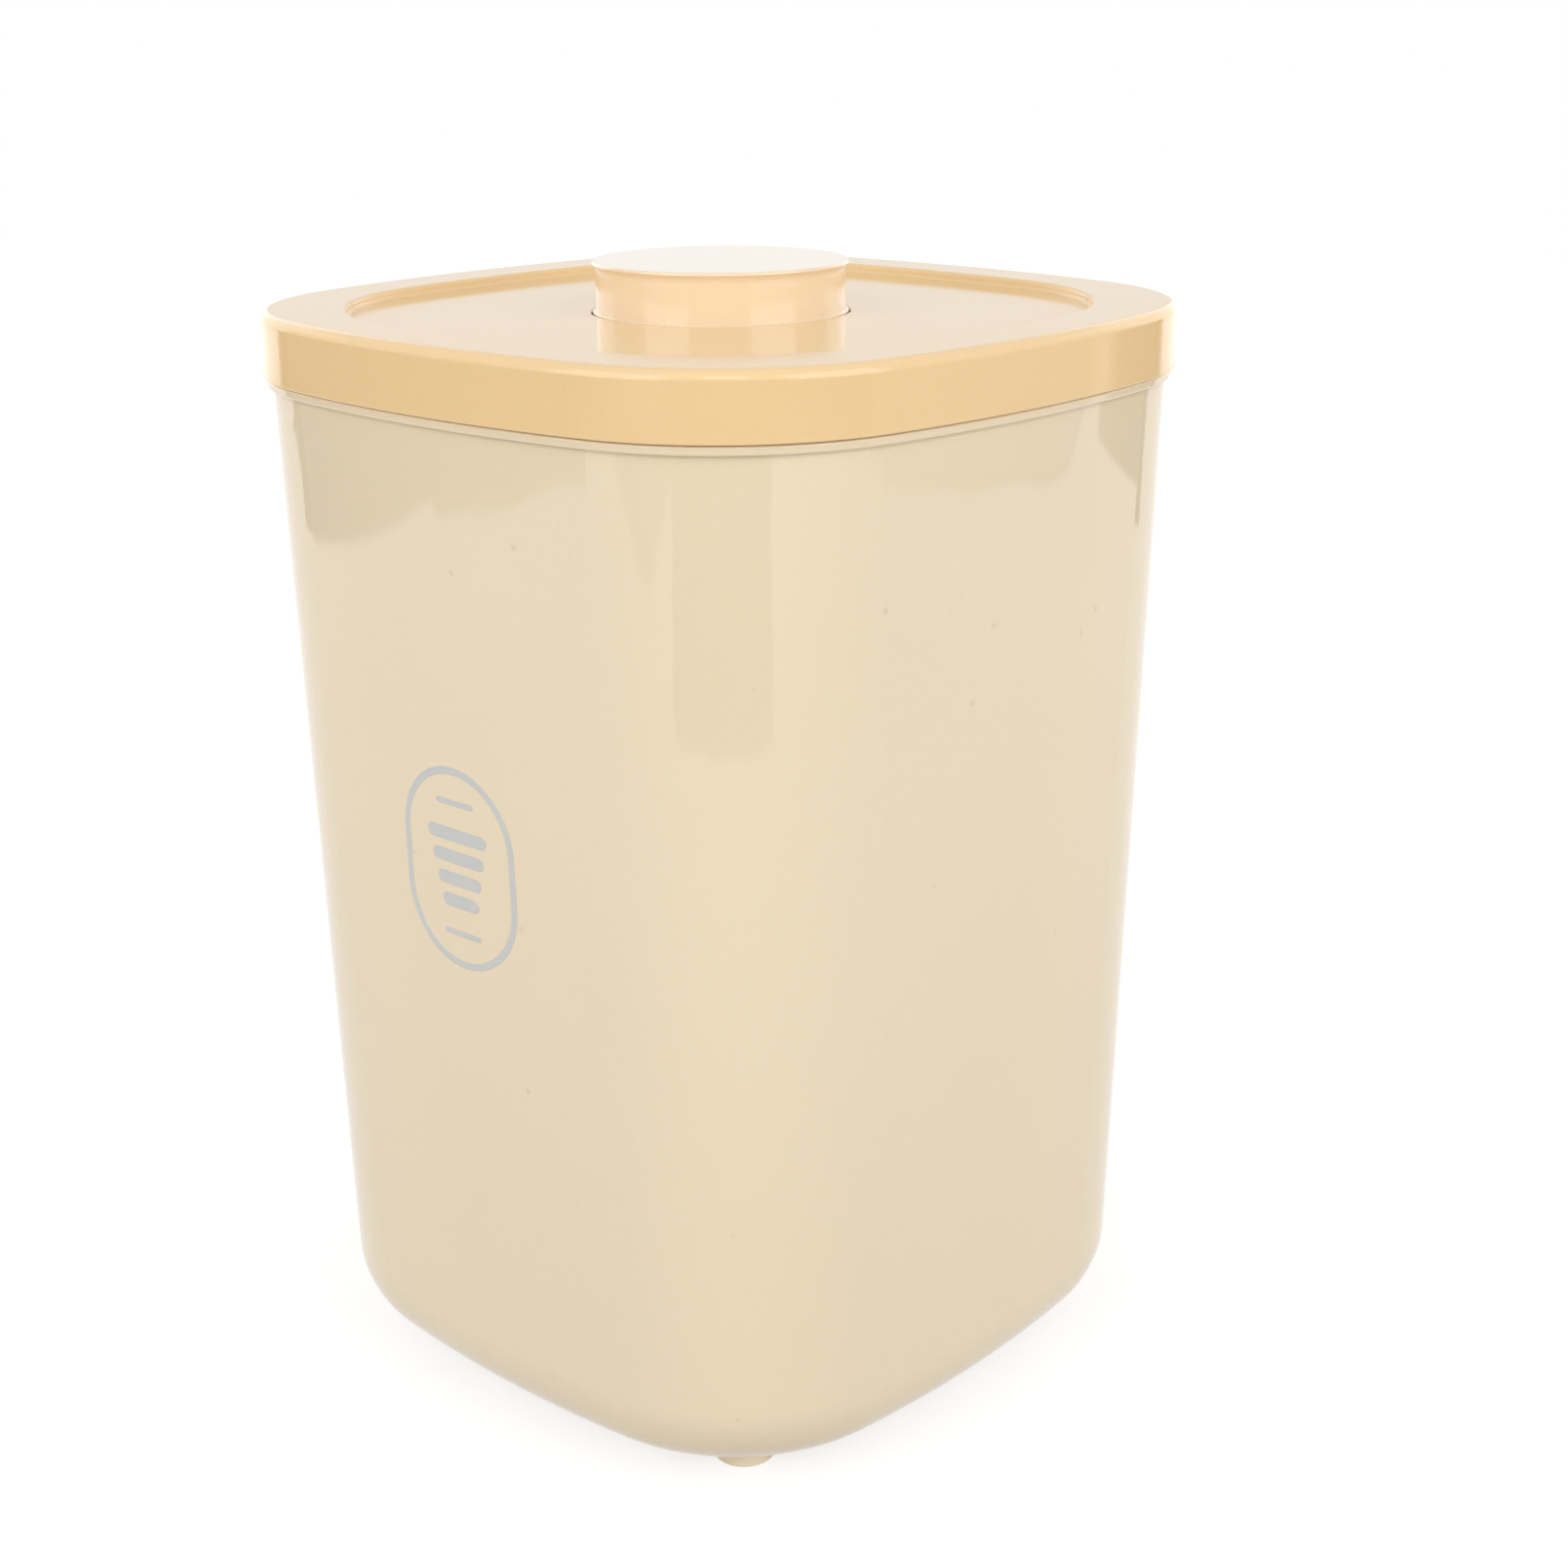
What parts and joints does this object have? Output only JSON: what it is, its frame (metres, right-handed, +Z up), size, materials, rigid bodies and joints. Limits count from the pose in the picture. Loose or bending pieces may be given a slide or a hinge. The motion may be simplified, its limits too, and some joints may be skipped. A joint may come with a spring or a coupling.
{
  "type": "pet food storage container",
  "caption": "Tall rounded-square plastic tub on pad feet, with a push-to-seal lid whose round button stands proud of a sunken panel.",
  "frame": {"origin": "on the floor, at the centre of the four feet", "axes": "+Z up through the button, X and Y square to the four sides, -Y towards the side with the badge"},
  "size_m": [0.235, 0.235, 0.337],
  "materials": {
    "tub_plastic": "gloss",
    "lid_plastic": "gloss",
    "button_plastic": "gloss",
    "tray_plastic": "satin",
    "mechanism_plastic": "satin",
    "silicone": "matte",
    "foot_pad": "matte",
    "steel": "satin"
  },
  "bodies": {
    "tub": {"tub_shell": "tub_plastic", "foot_front_left": "foot_pad", "foot_front_right": "foot_pad", "foot_rear_left": "foot_pad", "foot_rear_right": "foot_pad"},
    "lid": {"lid_cover": "lid_plastic", "inner_tray": "tray_plastic", "lever_pins": "steel", "latch_pivot": "steel", "gasket": "silicone", "return_spring": "steel", "tray_screws": "steel"},
    "button": {"button_cap": "button_plastic", "button_core": "mechanism_plastic", "button_screws": "steel"},
    "lift_plate": {"lift_plate": "tray_plastic"},
    "lever_1": {"rocker_lever_1": "mechanism_plastic"},
    "lever_2": {"rocker_lever_2": "mechanism_plastic"},
    "lever_3": {"rocker_lever_3": "mechanism_plastic"},
    "lever_4": {"rocker_lever_4": "mechanism_plastic"},
    "latch_follower": {"latch_follower": "steel"}
  },
  "joints": [
    {"name": "lid_lift_off", "type": "slide", "parent": "tub", "child": "lid", "axis": [0, 0, 1], "range_m": [0, 0.09]},
    {"name": "button_press", "type": "slide", "parent": "lid", "child": "button", "axis": [0, 0, -1], "range_m": [0, 0.012], "stiffness_N_per_m": 150, "springref_m": -0.01, "deforming": ["return_spring"]},
    {"name": "lift_plate_rise", "type": "slide", "parent": "lid", "child": "lift_plate", "axis": [0, 0, 1], "range_m": [0, 0.0036], "deforming": ["gasket"]},
    {"name": "lever_1_rock", "type": "hinge", "parent": "lid", "child": "lever_1", "pos_m": [0.06499, 0, 0.296], "axis": [0, -1, 0], "range_deg": [0, 23.08]},
    {"name": "lever_2_rock", "type": "hinge", "parent": "lid", "child": "lever_2", "pos_m": [0, 0.06499, 0.296], "axis": [1, 0, 0], "range_deg": [0, 23.08]},
    {"name": "lever_3_rock", "type": "hinge", "parent": "lid", "child": "lever_3", "pos_m": [-0.06499, 0, 0.296], "axis": [0, 1, 0], "range_deg": [0, 23.08]},
    {"name": "lever_4_rock", "type": "hinge", "parent": "lid", "child": "lever_4", "pos_m": [0, -0.06499, 0.296], "axis": [-1, 0, 0], "range_deg": [0, 23.08]},
    {"name": "latch_follower_swing", "type": "hinge", "parent": "lid", "child": "latch_follower", "pos_m": [0.02, 0.0044, 0.29095], "axis": [0, -1, 0], "range_deg": [0, 6.16]}
  ],
  "couplings": [
    {"joint": "lift_plate_rise", "follows": "button_press", "ratio": 0.3},
    {"joint": "lever_1_rock", "follows": "button_press", "rad_per_m": 33.56},
    {"joint": "lever_2_rock", "follows": "button_press", "rad_per_m": 33.56},
    {"joint": "lever_3_rock", "follows": "button_press", "rad_per_m": 33.56},
    {"joint": "lever_4_rock", "follows": "button_press", "rad_per_m": 33.56},
    {"joint": "latch_follower_swing", "follows": "button_press", "rad_per_m": 8.9457}
  ]
}
